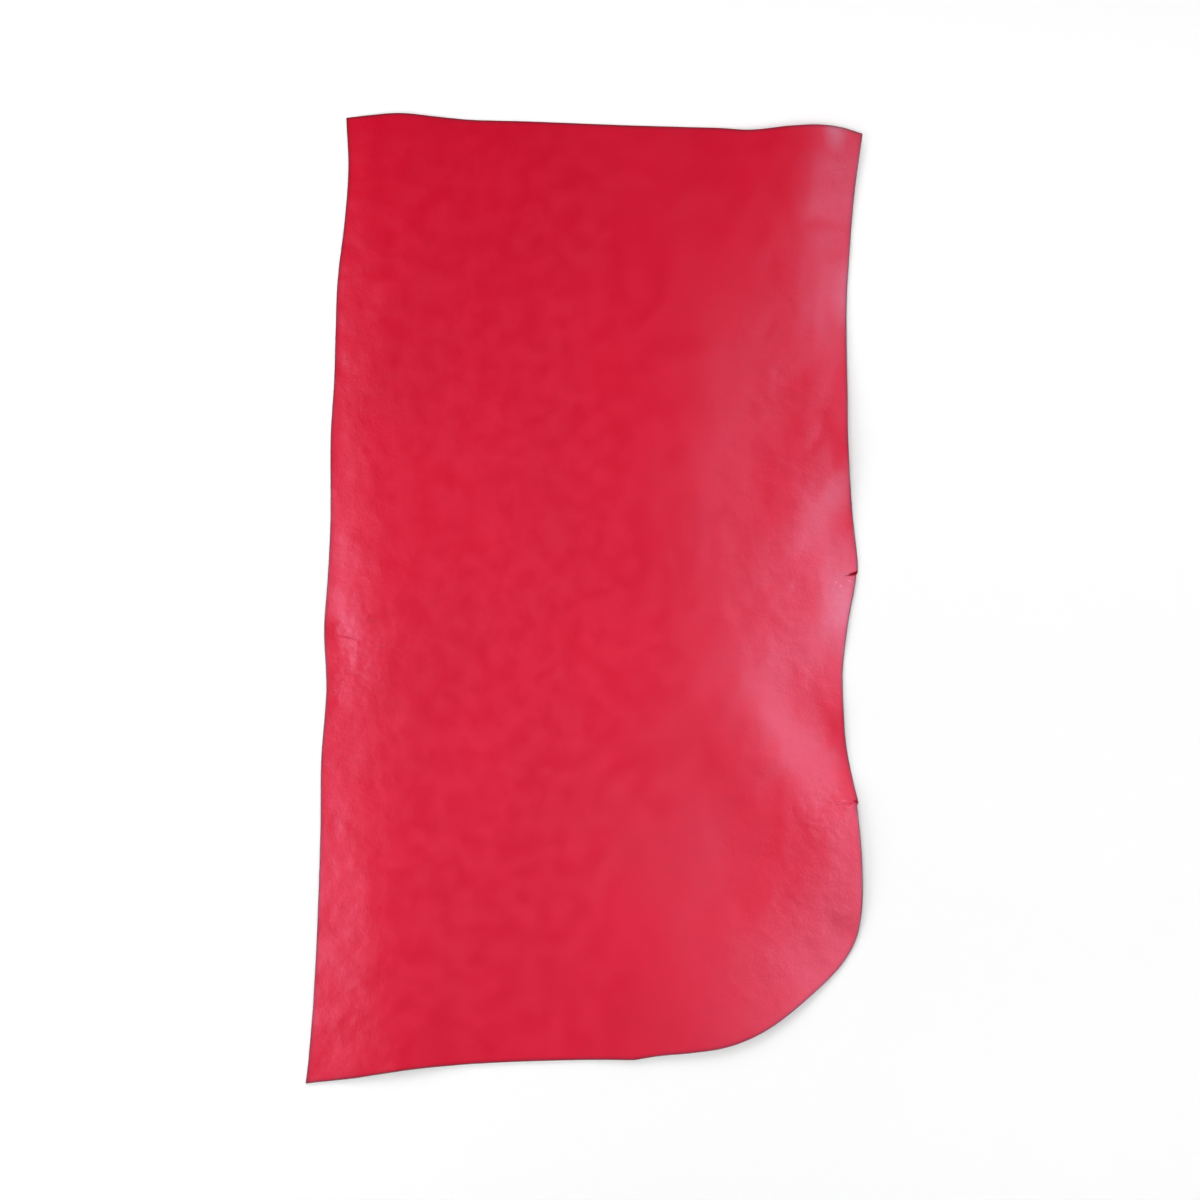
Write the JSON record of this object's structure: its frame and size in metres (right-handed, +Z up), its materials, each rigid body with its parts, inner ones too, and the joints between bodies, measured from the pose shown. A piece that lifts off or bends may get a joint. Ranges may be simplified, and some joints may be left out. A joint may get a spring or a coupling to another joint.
{
  "type": "leather hide",
  "caption": "Half hide of dyed red leather, laid out flat with its grain side up: one long straight-cut edge, one wavy edge and one rounded corner.",
  "frame": {"origin": "middle of the hide's footprint, on the surface that it lies on", "axes": "+Z up, out of the grain side; +Y along the hide's length, towards its head end; +X from the straight-cut back edge towards the wavy belly edge"},
  "size_m": [0.7764, 1.352, 0.0141],
  "materials": {
    "leather": "dyed through, smooth grain side with a soft sheen, napped flesh side"
  },
  "bodies": {
    "root": {"hide": "leather"}
  },
  "joints": []
}
